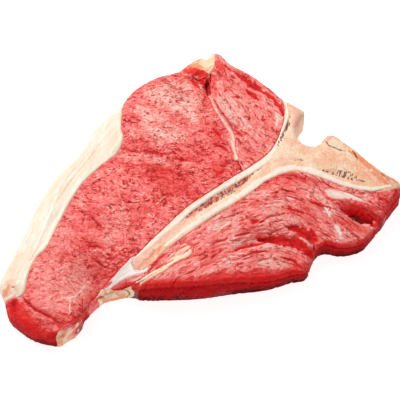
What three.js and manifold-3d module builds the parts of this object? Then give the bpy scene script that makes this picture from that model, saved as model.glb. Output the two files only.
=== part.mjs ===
// A raw T-bone steak, cut straight across the short loin and lying flat on its cut face.
// Millimetres, +Z up. The origin is under the middle of the steak, on the surface it lies on;
// +X runs along its longest side, from the tail end to the backbone.
//
// The steak starts as one even blank: a plate trimmed to the outer outline, with rounded edges.
// Every piece, such as the bone, the fat cap and each muscle, is cut out of that blank along its
// seam, through the full thickness. Last, all the pieces are pressed together to the steak's own
// height at each place, which gives the cut face its folds, its swells and its thin ends.
import * as THREE from "three";
import { mergeVertices } from "three/addons/utils/BufferGeometryUtils.js";
import Module from "manifold-3d";

const wasm = await Module();
wasm.setup();

// ---- Driving dimensions -------------------------------------------------------------------

const LENGTH = 237; // along X
const WIDTH = 208; // along Y
const THICKNESS = 22; // at the bone
const EDGE_ROUND_IN = 3; // how far the rounded edge reaches in
const EDGE_ROUND_DOWN = 5; // and how far down
const EDGE_STEPS = 3; // facets over one rounded edge
const FACE_GRID = 4; // spacing of the cut face's points
const OUTLINE_STEP = 4; // spacing of points along the outer outline
const SEAM_STEP = 3.5; // spacing of points along a seam
const SEAM_GAP = 0.3; // air between two neighbouring pieces
const FACE_SKIN = 0.1; // how far the blank's face lies under its full thickness
const CLEAR = 5; // how far the plate and the cutters reach past the blank
// The outlines and seams below are drawn from a point this far from the steak's middle.
const DRAWN_MIDDLE = [0.35, 1.15];

// ---- The outer outline, as named edges joined into one loop, anticlockwise from above ------

const FAT_CAP_EDGE = [
  [-50.2, 66], [-55.3, 57.6], [-61, 51], [-67.4, 44.4], [-71.8, 33], [-78, 21],
  [-90.5, 4.5], [-96.6, -9], [-102.8, -25], [-110, -46.2], [-116.4, -64.5], [-118.2, -71.5],
];
const TAIL_EDGE = [
  [-114.5, -78], [-111.5, -88], [-104, -95.3], [-93, -101.5], [-84, -103], [-77.5, -100.5],
  [-71, -93.5], [-68.5, -87], [-64, -80],
];
const CHAIN_EDGE = [[-59, -74.8], [-52, -72.2], [-43, -70.8]];
const TENDERLOIN_EDGE = [
  [-36, -73.2], [-20, -73.9], [0, -72.5], [18, -69.3], [37, -66.5], [50, -61.6],
  [59, -59.8], [61.6, -54], [64.5, -46.5], [70, -42], [81, -43.6], [94, -39.6],
  [101, -31], [111.5, -16], [118.4, -6],
];
const BONE_EDGE = [
  [118, 0.4], [111, 5.6], [100.3, 15.8], [93, 24.4], [86, 30.4], [80.4, 35.8],
  [75, 34.8], [71.4, 29], [66, 27], [60.2, 29.6], [57.2, 37], [60.6, 47.4],
  [63.8, 53.6], [57.6, 58.8],
];
const CROWN_EDGE = [
  [50.3, 65], [39.4, 77.4], [28.4, 87.6], [17, 95.4], [11, 104], [4.6, 105.2],
  [0.5, 100.8], [-3, 101], [-11, 95.8], [-17, 88.4], [-29.6, 84.4], [-37, 80.2], [-44.8, 73.2],
];
const SOFT_EDGE = [
  ...CROWN_EDGE, ...FAT_CAP_EDGE, ...TAIL_EDGE, ...CHAIN_EDGE, ...TENDERLOIN_EDGE,
];
const STEAK_EDGE = [...BONE_EDGE, ...SOFT_EDGE];

// ---- The seams between the pieces ----------------------------------------------------------
// A cutting loop follows its own piece's edge. Elsewhere it runs outside the blank, or over a
// piece that has been cut out before it, where its path doesn't matter.

const T_BONE = [
  [50.5, 68], [50.6, 55], [50, 47.3], [47.4, 37], [43.9, 28], [39, 19.8], [27.5, 9.8],
  [6, -6.6], [-11, -20.6], [-24.5, -36], [-37.5, -51.3], [-42.2, -56.8], [-41.4, -60.6],
  [-36, -62.8], [-32, -60.6], [-26, -54], [-11.6, -40.3], [10, -23.3], [29.4, -8], [38.5, 0], [48.5, 4.8],
  [58, 5.8], [70.7, 1.6], [87, -5.1], [102, -8.1], [112, -6.6], [122, 2],
  [122, 40], [90, 60],
];
const TIP_CARTILAGE = [
  [-41, -54], [-45, -57.2], [-52, -63.8], [-56.5, -68], [-59.4, -72.2], [-55.5, -70.6],
  [-50.5, -67.2], [-45, -65.4], [-39.5, -64.7], [-33.5, -64.2], [-32, -61], [-36, -56],
];
const CHAIN_MUSCLE = [
  [-54.2, -70.8], [-50, -66], [-42, -62], [-32, -58], [-22, -46.5], [-14.5, -44.4],
  [-14.6, -48.5], [-20.6, -56.6], [-26, -61.6], [-31.5, -65], [-37, -67.8], [-43, -69.4],
  [-49, -70.4],
];
const CHAIN_FAT = [
  [-67, -84], [-64.6, -79.5], [-61.4, -75], [-59, -71], [-48, -66], [-30, -60], [-18, -50],
  [-11.6, -47], [-7.5, -46.2], [-6.4, -49], [-8.3, -53.6], [-17.3, -59.6], [-22.9, -64],
  [-31.5, -68.4], [-38, -71.4], [-41.6, -75], [-42, -84],
];
const FAT_CAP = [
  [-46, 71], [-49, 65], [-51.6, 58.5], [-52.2, 50], [-51.9, 37], [-50.8, 33.6], [-53, 22], [-64.5, 9.2],
  [-75, -4.6], [-86, -31.5], [-92, -48], [-97.5, -54.5], [-101.4, -66], [-103.4, -78],
  [-109, -80.5], [-117, -80], [-128, -76], [-128, -20], [-90, 40], [-60, 76],
];
const SIDE_FAT = [
  [72.5, -6.2], [80, -6.9], [88, -10], [96, -14.3], [105, -19], [112, -22.4], [118, -26.5],
  [117, -28.6], [104, -21.4], [95, -16.8], [88, -13.4], [81, -13.4], [75.5, -14], [71.5, -11],
];
const SIDE_MUSCLE = [
  [70, 2], [78, -6], [90, -12.5], [102, -19.5], [113, -25], [128, -26], [128, -2], [100, 0],
];
const SPINE_MUSCLE = [
  [3, 110], [4.4, 92], [4, 80], [3, 73], [3.8, 65.5], [8.4, 53], [14.5, 41.5], [18.8, 33.5],
  [19.2, 25], [20.6, 15], [25, 4], [48, 22], [60, 70], [30, 100],
];
const CROWN_FAT = [
  [-22, 90], [-14.5, 85.5], [-9, 83.6], [1.5, 84.6], [6, 90], [4, 110], [-14, 110],
];
const TAIL_FAT = [
  [-85, -112], [-82.8, -101.6], [-79, -97.6], [-74.5, -95], [-71, -91], [-62, -88], [-60, -104],
];
const STRIP_LOIN = [
  [-140, -120], [-66, -120], [-60, -82], [-40, -60], [0, -22], [48, 14], [60, 120], [-140, 120],
];
const TENDERLOIN = [[-60, -110], [140, -110], [140, 20], [-60, 20]];
// The thin seam of white fat along the left side of the spine muscle: its path, and how wide
// it is at the start, the middle and the end.
const SEAM_FAT_PATH = [[3, 69], [7, 54.5], [13, 43], [17.3, 33.5], [17.2, 25], [19.6, 14.5]];
const SEAM_FAT_WIDTHS = [1.4, 1.8, 3.4];

// ---- The height of the cut face ----------------------------------------------------------------

// Folds pressed into the cut face: a path, how wide the fold is and how deep.
const CROWN_CLEFT = { path: [[-4, 83], [2, 81.5], [3.4, 75], [3, 68]], width: 5, depth: 5 };
const LOIN_CREASE = {
  path: [[-53, 20.5], [-42.7, 19.8], [-30.4, 16.7], [-15, 7.6]], width: 4, depth: 1.4,
};
const TENDERLOIN_FOLD = {
  path: [[20.5, -46], [33.5, -40.3], [44, -38.5], [52, -42], [62.5, -50]], width: 5, depth: 3,
};
const SHORT_FOLD = { path: [[54.5, -30], [61, -33], [65, -40]], width: 5, depth: 1.8 };
const OPEN_POCKET = {
  path: [[87, -20.5], [93, -23.5], [98, -25.5], [103, -24.5]], width: 6, depth: 6,
};
const TAIL_CREASE = { path: [[-103, -80], [-95, -89], [-82, -96]], width: 4, depth: 1.2 };
const FOLDS = [
  CROWN_CLEFT, LOIN_CREASE, TENDERLOIN_FOLD, SHORT_FOLD, OPEN_POCKET, TAIL_CREASE,
];
// Broad swells of the muscles: where, how far each reaches and how high it rises.
const SWELLS = [
  { at: [-62, -38], reach: 34, height: 1.0 },
  { at: [-20, 48], reach: 30, height: 1.1 },
  { at: [28, 62], reach: 20, height: 0.9 },
  { at: [20, -55], reach: 26, height: 0.9 },
  { at: [85, -20], reach: 20, height: 0.6 },
  { at: [40, -18], reach: 24, height: 0.8 },
];
const SWELL_ROOM = 1.1; // the highest of the swells
const RIPPLE = 0.25; // how far the face waves up and down all over
// Meat and fat slope down towards their free edge, over this distance and by this much. The
// outer side of the tail does so further in.
const EDGE_SLOPE = { path: SOFT_EDGE, reach: 9, drop: 2.2 };
const TAIL_SLOPE = { path: [[-117, -82], [-104, -97], [-82, -104]], reach: 15, drop: 6.5 };
// Places where the whole steak is thinner than at the bone, by a share of its thickness.
const THIN_PLACES = [
  { at: [56, -66], reach: 26, share: 0.4 },
  { at: [92, -42], reach: 22, share: 0.34 },
  { at: [-92, -104], reach: 30, share: 0.16 },
  { at: [-118, -60], reach: 20, share: 0.12 },
  { at: [-55, -74], reach: 13, share: 0.5 },
];

// ---- Helpers -----------------------------------------------------------------------------------

// A smooth closed loop through the given points, as evenly spaced 2-D points, anticlockwise.
function smoothLoop(points, step) {
  const curve = new THREE.CatmullRomCurve3(
    points.map(([x, y]) => new THREE.Vector3(x, y, 0)),
    true,
    "centripetal",
  );
  const count = Math.round(curve.getLength() / step);
  const loop = curve
    .getSpacedPoints(count)
    .slice(0, count)
    .map((p) => new THREE.Vector2(p.x, p.y));
  return THREE.ShapeUtils.area(loop) < 0 ? loop.reverse() : loop;
}

// The loop moved outwards by a distance, each point along its own normal.
function grow(loop, distance) {
  return loop.map((p, i) => {
    const before = loop[(i + loop.length - 1) % loop.length];
    const after = loop[(i + 1) % loop.length];
    const along = after.clone().sub(before).normalize();
    return new THREE.Vector2(p.x + along.y * distance, p.y - along.x * distance);
  });
}

// The closed outline of a strip that follows an open path, with its width blended from the
// first to the middle to the last of the given widths.
function ribbonLoop(path, widths, step) {
  const curve = new THREE.SplineCurve(path.map(([x, y]) => new THREE.Vector2(x, y)));
  const count = Math.round(curve.getLength() / step);
  const left = [];
  const right = [];
  for (let i = 0; i <= count; i++) {
    const share = i / count;
    const [from, to] = share < 0.5 ? [widths[0], widths[1]] : [widths[1], widths[2]];
    const half = THREE.MathUtils.lerp(from, to, share < 0.5 ? share * 2 : share * 2 - 1) / 2;
    const p = curve.getPointAt(share);
    const along = curve.getTangentAt(share);
    left.push(new THREE.Vector2(p.x - along.y * half, p.y + along.x * half));
    right.push(new THREE.Vector2(p.x + along.y * half, p.y - along.x * half));
  }
  const loop = [...left, ...right.reverse()];
  return THREE.ShapeUtils.area(loop) < 0 ? loop.reverse() : loop;
}

function toSolid(geometry) {
  const bare = geometry.clone();
  bare.deleteAttribute("normal");
  bare.deleteAttribute("uv");
  const merged = mergeVertices(bare);
  return new wasm.Manifold(
    new wasm.Mesh({
      numProp: 3,
      vertProperties: merged.getAttribute("position").array,
      triVerts: new Uint32Array(merged.index.array),
    }),
  );
}

// A straight-sided cutter over the loop, taller than the blank.
function cutter(loop) {
  const prism = new THREE.ExtrudeGeometry(new THREE.Shape(loop), {
    depth: THICKNESS + 2 * CLEAR,
    bevelEnabled: false,
  });
  prism.translate(0, 0, -CLEAR);
  return toSolid(prism);
}

// The shortest distance from a point to a path of straight stretches.
function distanceToPath(x, y, path) {
  const point = new THREE.Vector3(x, y, 0);
  const nearest = new THREE.Vector3();
  let best = Infinity;
  for (let i = 0; i + 1 < path.length; i++) {
    const start = new THREE.Vector3(...path[i], 0);
    const end = new THREE.Vector3(...path[i + 1], 0);
    new THREE.Line3(start, end).closestPointToPoint(point, true, nearest);
    best = Math.min(best, nearest.distanceTo(point));
  }
  return best;
}

// A rounded hill: 1 at its middle, fading to nothing at about twice its reach.
function hill(x, y, { at, reach }) {
  return Math.exp(-((x - at[0]) ** 2 + (y - at[1]) ** 2) / (2 * reach ** 2));
}

// ---- The steak -----------------------------------------------------------------------------------

// How far the face has dropped at a place, this near to a slope's path.
function slopeDrop(x, y, { path, reach, drop }) {
  const share = distanceToPath(x, y, path) / reach;
  return share < 1 ? drop * (1 - share) ** 2 : 0;
}

// Height of the cut face over the surface that the steak lies on.
function faceHeight(x, y) {
  let swell = 0;
  for (const s of SWELLS) swell = Math.max(swell, s.height * hill(x, y, s));
  const ripple = RIPPLE * Math.sin(x / 7.3 + y / 11.9) * Math.cos(y / 6.1 - x / 15.7);
  let height = THICKNESS - SWELL_ROOM - RIPPLE + swell + ripple;
  for (const { path, width, depth } of FOLDS) {
    height -= depth * Math.exp(-2 * (distanceToPath(x, y, path) / width) ** 2);
  }
  height -= Math.max(slopeDrop(x, y, EDGE_SLOPE), slopeDrop(x, y, TAIL_SLOPE));
  let lost = 0;
  for (const place of THIN_PLACES) lost = Math.max(lost, place.share * hill(x, y, place));
  return height * (1 - lost);
}

// A plate, thicker below than the blank, whose upper face has an even grid of points. They lie
// a hair off one plane, so that they are kept when the plate is cut.
function griddedPlate() {
  const across = Math.ceil(LENGTH / FACE_GRID) + 2;
  const deep = Math.ceil(WIDTH / FACE_GRID) + 2;
  const depth = THICKNESS + CLEAR;
  const plate = new THREE.BoxGeometry(
    across * FACE_GRID, deep * FACE_GRID, depth, across, deep, 1,
  );
  plate.translate(0, 0, THICKNESS - depth / 2);
  const points = plate.getAttribute("position");
  for (let i = 0; i < points.count; i++) {
    if (points.getZ(i) < 0) continue;
    const hair = 0.5 * (1 + Math.sin(points.getX(i)) * Math.cos(points.getY(i)));
    points.setZ(i, THICKNESS - FACE_SKIN * hair);
  }
  return toSolid(plate);
}

function roundedOutline() {
  const outline = new THREE.ExtrudeGeometry(new THREE.Shape(smoothLoop(STEAK_EDGE, OUTLINE_STEP)), {
    depth: THICKNESS - 2 * EDGE_ROUND_DOWN,
    bevelThickness: EDGE_ROUND_DOWN,
    bevelSize: EDGE_ROUND_IN,
    bevelOffset: -EDGE_ROUND_IN,
    bevelSegments: EDGE_STEPS,
  });
  outline.translate(0, 0, EDGE_ROUND_DOWN);
  return toSolid(outline);
}

// The largest body of a solid, without the scraps that cutting can leave beside it.
function mainBody(solid) {
  return solid.decompose().sort((a, b) => b.volume() - a.volume())[0];
}

// A cut piece as geometry, pressed to the steak's height at each of its points.
function pressedGeometry(solid) {
  const mesh = solid.getMesh();
  const positions = new Float32Array(mesh.numVert * 3);
  for (let i = 0; i < mesh.numVert; i++) {
    const [x, y, z] = mesh.vertProperties.subarray(i * mesh.numProp, i * mesh.numProp + 3);
    const [middleX, middleY] = DRAWN_MIDDLE;
    positions.set([x - middleX, y - middleY, (z / THICKNESS) * faceHeight(x, y)], i * 3);
  }
  const geometry = new THREE.BufferGeometry();
  geometry.setAttribute("position", new THREE.BufferAttribute(positions, 3));
  geometry.setIndex(new THREE.BufferAttribute(new Uint32Array(mesh.triVerts), 1));
  geometry.computeVertexNormals();
  return geometry;
}

const meat = new THREE.MeshStandardMaterial({ color: 0xd9474a, roughness: 0.45, metalness: 0 });
const paleMeat = new THREE.MeshStandardMaterial({ color: 0xe2615c, roughness: 0.45, metalness: 0 });
const fat = new THREE.MeshStandardMaterial({ color: 0xf7ecd8, roughness: 0.55, metalness: 0 });
const yellowFat = new THREE.MeshStandardMaterial({ color: 0xf0c896, roughness: 0.5, metalness: 0 });
const bone = new THREE.MeshStandardMaterial({ color: 0xf5dcbf, roughness: 0.6, metalness: 0 });
const gristle = new THREE.MeshStandardMaterial({ color: 0xfbf1ea, roughness: 0.4, metalness: 0 });

// The pieces in the order they are cut out of the blank. Each is cut from what the ones before
// it have left, so only its own side of a shared seam has to be followed.
const PIECES = [
  ["t_bone", smoothLoop(T_BONE, SEAM_STEP), bone],
  ["tip_cartilage", smoothLoop(TIP_CARTILAGE, SEAM_STEP), gristle],
  ["chain_muscle", smoothLoop(CHAIN_MUSCLE, SEAM_STEP), paleMeat],
  ["chain_fat", smoothLoop(CHAIN_FAT, SEAM_STEP), yellowFat],
  ["side_fat", smoothLoop(SIDE_FAT, SEAM_STEP), fat],
  ["side_muscle", smoothLoop(SIDE_MUSCLE, SEAM_STEP), paleMeat],
  ["seam_fat", ribbonLoop(SEAM_FAT_PATH, SEAM_FAT_WIDTHS, SEAM_STEP), fat],
  ["crown_fat", smoothLoop(CROWN_FAT, SEAM_STEP), yellowFat],
  ["spine_muscle", smoothLoop(SPINE_MUSCLE, SEAM_STEP), paleMeat],
  ["fat_cap", smoothLoop(FAT_CAP, SEAM_STEP), fat],
  ["tail_fat", smoothLoop(TAIL_FAT, SEAM_STEP), yellowFat],
  ["strip_loin", smoothLoop(STRIP_LOIN, SEAM_STEP), meat],
  ["tenderloin", smoothLoop(TENDERLOIN, SEAM_STEP), meat],
];

function cutSteak() {
  const steak = new THREE.Group();
  steak.name = "t_bone_steak";
  let blank = griddedPlate().intersect(roundedOutline());
  for (const [name, loop, material] of PIECES) {
    const piece = new THREE.Mesh(pressedGeometry(mainBody(blank.intersect(cutter(loop)))), material);
    piece.name = name;
    steak.add(piece);
    blank = blank.subtract(cutter(grow(loop, SEAM_GAP)));
  }
  return steak;
}

export default cutSteak();
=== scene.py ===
import math

import bpy
import numpy as np
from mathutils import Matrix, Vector
from mathutils.bvhtree import BVHTree


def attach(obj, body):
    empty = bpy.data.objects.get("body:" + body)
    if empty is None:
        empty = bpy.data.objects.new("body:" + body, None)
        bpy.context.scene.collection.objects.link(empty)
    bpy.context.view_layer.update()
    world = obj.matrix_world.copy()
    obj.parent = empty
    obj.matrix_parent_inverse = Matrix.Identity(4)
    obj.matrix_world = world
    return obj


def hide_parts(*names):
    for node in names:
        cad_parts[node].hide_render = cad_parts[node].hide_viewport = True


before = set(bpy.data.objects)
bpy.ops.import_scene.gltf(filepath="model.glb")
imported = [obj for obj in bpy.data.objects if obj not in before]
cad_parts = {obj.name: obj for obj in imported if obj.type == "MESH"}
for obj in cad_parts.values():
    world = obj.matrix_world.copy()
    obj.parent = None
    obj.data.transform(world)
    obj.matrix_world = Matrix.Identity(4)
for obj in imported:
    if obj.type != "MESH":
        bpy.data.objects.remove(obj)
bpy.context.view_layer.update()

MM = 0.001
# The size of a skin's faces in millimetres, and how often they are smoothed.
BROAD_SKIN = (0.62, 6)
THICK_SKIN = (0.55, 6)
THIN_SKIN = (0.4, 3)
# A place in the frame plus this is the same place in the strokes, in millimetres.
TO_STROKES = (0.35, 1.15, 0)

# ---- Colours, as linear red, green and blue ------------------------------------------------------

MEAT_TONES = [
    (0.00, (0.36, 0.005, 0.007)),
    (0.14, (0.58, 0.022, 0.022)),
    (0.28, (0.76, 0.058, 0.054)),
    (0.42, (0.89, 0.108, 0.098)),
    (0.56, (0.97, 0.180, 0.162)),
    (0.70, (1.00, 0.275, 0.245)),
    (0.85, (1.00, 0.42, 0.37)),
    (1.00, (1.00, 0.62, 0.54)),
]
ROSE = (0.84, 0.12, 0.15)
MILK_PINK = (0.88, 0.62, 0.54)
TAN = (0.62, 0.33, 0.22)
RICH_RED = (0.80, 0.045, 0.036)
CREAM = (0.96, 0.70, 0.58)
WHITE_SPOT = (0.95, 0.84, 0.78)
BLOOD_DEEP = (0.46, 0.001, 0.003)
BLOOD_BRIGHT = (0.76, 0.010, 0.010)
# painted shade in the furrows and along the joins with fat and bone
FURROW_SHADE_RED = (0.48, 0.009, 0.011)
# painted shade in clefts, pockets and notches
CRACK_SHADE = (0.14, 0.001, 0.003)
RAW_RED = (0.86, 0.036, 0.030)
# painted shade on the rounded edges, stronger on those turned away from the lamp
RIM_SHADE_RED = (0.78, 0.014, 0.016)
# painted shade on the front and side walls, the deep ones towards the bottom
FRONT_SHADE_RED = (0.49, 0.004, 0.007)
FRONT_DEEP_SHADE = (0.12, 0.001, 0.003)
SIDE_SHADE_RED = (0.68, 0.020, 0.022)
SIDE_DEEP_SHADE = (0.26, 0.003, 0.006)
FAT_CREAM = (0.80, 0.71, 0.58)
FAT_WARM = (0.82, 0.66, 0.49)
WHITE_FAT = (0.86, 0.80, 0.71)
YELLOW_CREAM = (0.95, 0.74, 0.50)
YELLOW_FAT = (0.88, 0.54, 0.33)
ORANGE_FAT = (0.82, 0.27, 0.11)
WARM_BLUSH = (0.88, 0.44, 0.30)
PINK_FAT = (0.86, 0.20, 0.165)
PEACH_FAT = (0.82, 0.53, 0.38)
PINK_CREAM = (0.90, 0.62, 0.51)
FAT_LINE = (0.62, 0.26, 0.14)
BROWN = (0.26, 0.03, 0.015)
PEARL = (0.95, 0.88, 0.87)
PEARL_PINK = (0.88, 0.55, 0.54)
BONE_CREAM = (0.90, 0.68, 0.49)
BONE_TAN = (0.86, 0.50, 0.32)
BONE_SHADE = (0.66, 0.28, 0.14)
BONE_ORANGE = (0.80, 0.24, 0.11)
BONE_PINK = (0.84, 0.40, 0.33)
BONE_RIM = (0.90, 0.80, 0.70)
MARROW = (0.72, 0.15, 0.11)
PORE_BROWN = (0.16, 0.03, 0.02)

# ---- Strokes on the cut face ---------------------------------------------------------------------
# Each stroke is (mask, strength, half width, path), with lengths in millimetres, and ends with a
# depth where it also presses the surface in, or with a negative depth where it raises it.

# Furrow strokes paint shade into the furrows they press, and the darkest strokes paint shade into clefts,
# pockets and notches.
TENDERLOIN_STROKES = [
    # the two deep folds and the notch that they end in, with painted shade in the notch and along the first
    # fold
    ("blood", 2.2, 2.6, [
        (31.5, -40), (39.5, -40.3), (46, -40.3), (54, -42), (58, -44.5), (63, -49),
    ], 1.3),
    ("dark", 0.6, 0.45, [(38, -42.2), (44, -42.6), (50, -43.2), (55, -45), (59, -48)], 0.4),
    ("blood", 1.1, 1.1, [(17, -50), (21.5, -46), (27, -44.5), (32, -43), (35.5, -42)], 0.8),
    ("blood", 1.7, 2.8, [(50.5, -33), (56, -34), (60.5, -36.5), (65, -40)], 1),
    ("furrow", 0.9, 0.7, [(48, -32.5), (52, -31.5), (56, -31.5)], 0.8),
    ("dark", 1, 0.9, [(64, -42.5), (64.5, -45.5), (64, -48.5)], 1.6),
    ("raw", 1.2, 3.4, [
        (-36, -70.5), (-25, -72), (-14, -72.5), (-3, -70.5), (14, -68), (28, -64.5), (40, -62),
        (51, -59), (58, -54),
    ]),
    ("blood", 0.75, 2, [
        (-36, -73), (-20, -74), (-3, -73), (14, -70), (28, -67), (42, -63.5), (55, -59.5),
    ]),
    ("raw", 1.1, 2.4, [
        (66, -49), (70.5, -48.5), (75, -50), (81.5, -50.5), (88.5, -46.5), (94.5, -42), (99, -36),
        (104, -29), (109, -21.5),
    ]),
    # furrows along the fibres, with painted shade in them
    ("furrow", 0.8, 0.75, [(4, -45.5), (8, -44), (11.5, -43), (13.5, -40.5)], 0.7),
    ("furrow", 0.8, 0.75, [(17.5, -40), (21.5, -38.5), (26.5, -37)], 0.7),
    ("furrow", 0.9, 0.85, [(21.5, -53.5), (24.5, -52), (27.5, -50), (32, -49), (36, -48)], 0.8),
    ("furrow", 0.7, 0.7, [(30.5, -55.5), (33.5, -54), (37, -53)], 0.6),
    ("blood", 0.9, 1.1, [(44.5, -51.5), (49.5, -52.5), (52.5, -54), (55, -56)], 0.6),
    ("furrow", 0.6, 0.7, [(44.5, -62), (49, -60.5), (54, -59)], 0.4),
    ("furrow", 0.7, 0.7, [(32.5, -30.5), (36, -27.5), (39.5, -25.5), (47.5, -24)], 0.6),
    ("blood", 0.8, 1.2, [(48, -20), (52, -21), (55.5, -22), (61, -24)], 0.5),
    ("blood", 0.9, 1.7, [(27.5, -31), (29.5, -30), (31.5, -29)], 0.3),
    ("blood", 0.6, 1.8, [(4, -55.5), (5, -53.5), (6.5, -52)], 0.3),
    ("furrow", 0.7, 0.8, [(12.5, -54.5), (15, -56.5)], 0.5),
    ("furrow", 0.6, 0.7, [(37, -37), (42, -34.5), (47, -33)], 0.5),
    ("furrow", 0.5, 0.6, [(20.5, -30), (24.5, -27.5), (28.5, -25)], 0.5),
    ("furrow", 0.5, 0.6, [(37.5, -18), (42, -16.5), (46.5, -17)], 0.4),
    ("furrow", 0.5, 0.6, [(16.5, -24), (21, -20.5), (24.5, -18.5)], 0.4),
    # redder stretches: along the lower edge, at the left end and under the bone
    ("rich", 0.8, 4, [(-3, -67.5), (11.5, -67), (26, -66), (40.5, -64), (55, -59), (62, -54)]),
    ("rich", 0.7, 5, [(-0.5, -59.5), (3.5, -52.5), (7, -46.5)]),
    ("rich", 0.6, 4, [(54.5, -13), (60.5, -16.5), (63.5, -22.5), (63.5, -29)]),
    ("rich", 0.6, 5, [(34, -5), (45, 0.5), (58, 0.5), (70, -4)]),
    ("blood", 0.6, 1.3, [(40.5, 1), (48, 3.5), (55, 3.5), (61, 1)], 0.3),
    ("blood", 0.7, 0.8, [(68.5, -0.5), (73, -3), (79, -5.5)], 0.3),
    # paler ridges between the folds
    ("pale", 0.8, 1.6, [(32.5, -36.2), (41, -36.4), (50, -36.8), (56, -39), (61, -42)]),
    ("pale", 0.7, 2.6, [(15.5, -44.5), (24, -41.5), (31, -40)]),
    ("pale", 0.7, 3.2, [(28.5, -46), (38, -44.5), (45.5, -44.5), (51.5, -47)]),
    ("pale", 0.9, 6, [(33, -57), (40.5, -57.5), (48, -57)]),
    ("pale", 0.6, 4, [(37.5, -29), (44.5, -29), (51.5, -29)]),
    ("pale", 0.5, 6, [(6, -35), (12.5, -30), (19.5, -25)]),
    ("pale", 0.5, 5, [(34, -21), (41, -20), (47, -14.5)]),
    ("pale", 0.4, 6, [(57.5, -4), (66, -9), (74, -15)]),
    # the lobe at the right: its pocket, with painted shade in it, its spots of fat and its red edge
    ("blood", 0.9, 1.2, [(62.5, -15.5), (67.5, -17), (72, -18.5), (76.5, -20)], 0.4),
    ("furrow", 0.8, 0.7, [(79, -18.5), (83, -19.5), (87, -21.5), (90.5, -22.5)], 0.6),
    ("furrow", 0.7, 0.7, [(81, -15.5), (84, -13), (87.5, -13)], 0.3),
    ("dark", 1, 2.7, [(88, -20.5), (92, -22.5), (96, -24), (99.5, -25)], 2.8),
    ("blood", 1, 3.6, [(84, -20.5), (89, -20.5), (93.5, -21.5), (98, -24), (100.5, -26)], 0.3),
    ("blood", 1, 3, [(99.5, -19.5), (103.5, -18), (107, -17)]),
    ("blood", 0.9, 2, [(98.5, -28), (103, -26), (107, -22)]),
    ("rich", 1, 5, [(79.5, -15.5), (85, -16.5), (90.5, -17.5), (96, -19)]),
    ("rich", 0.9, 5, [(76.5, -26), (83, -27.5), (89.5, -30), (95.5, -33)]),
    ("cream", 0.8, 0.9, [(84.5, -24), (89, -25.5), (94, -27.5), (98.5, -29.5)], -0.4),
    ("white", 0.75, 4.5, [(72, -19.5), (73.5, -22), (74.5, -24.5)], -0.2),
    ("white", 1.1, 2.4, [(77.5, -30.5), (79, -33.5), (80, -37)], -0.4),
    ("white", 0.6, 2, [(81, -37.5), (78, -40), (75, -41.5)], -0.1),
    ("white", 0.45, 4.5, [(82, -33), (86, -35), (89, -37)]),
    ("blood", 0.9, 2.2, [(62.5, -33), (63.5, -35.5), (64.5, -38)], 0.2),
    ("blood", 0.95, 2.4, [(66, -46), (70, -46), (74.5, -48), (80, -48.5), (86, -47), (92, -43.5)], 0.4),
    ("blood", 0.9, 1.5, [(92, -41), (94.5, -39), (97, -36.5)], 0.2),
]
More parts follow.
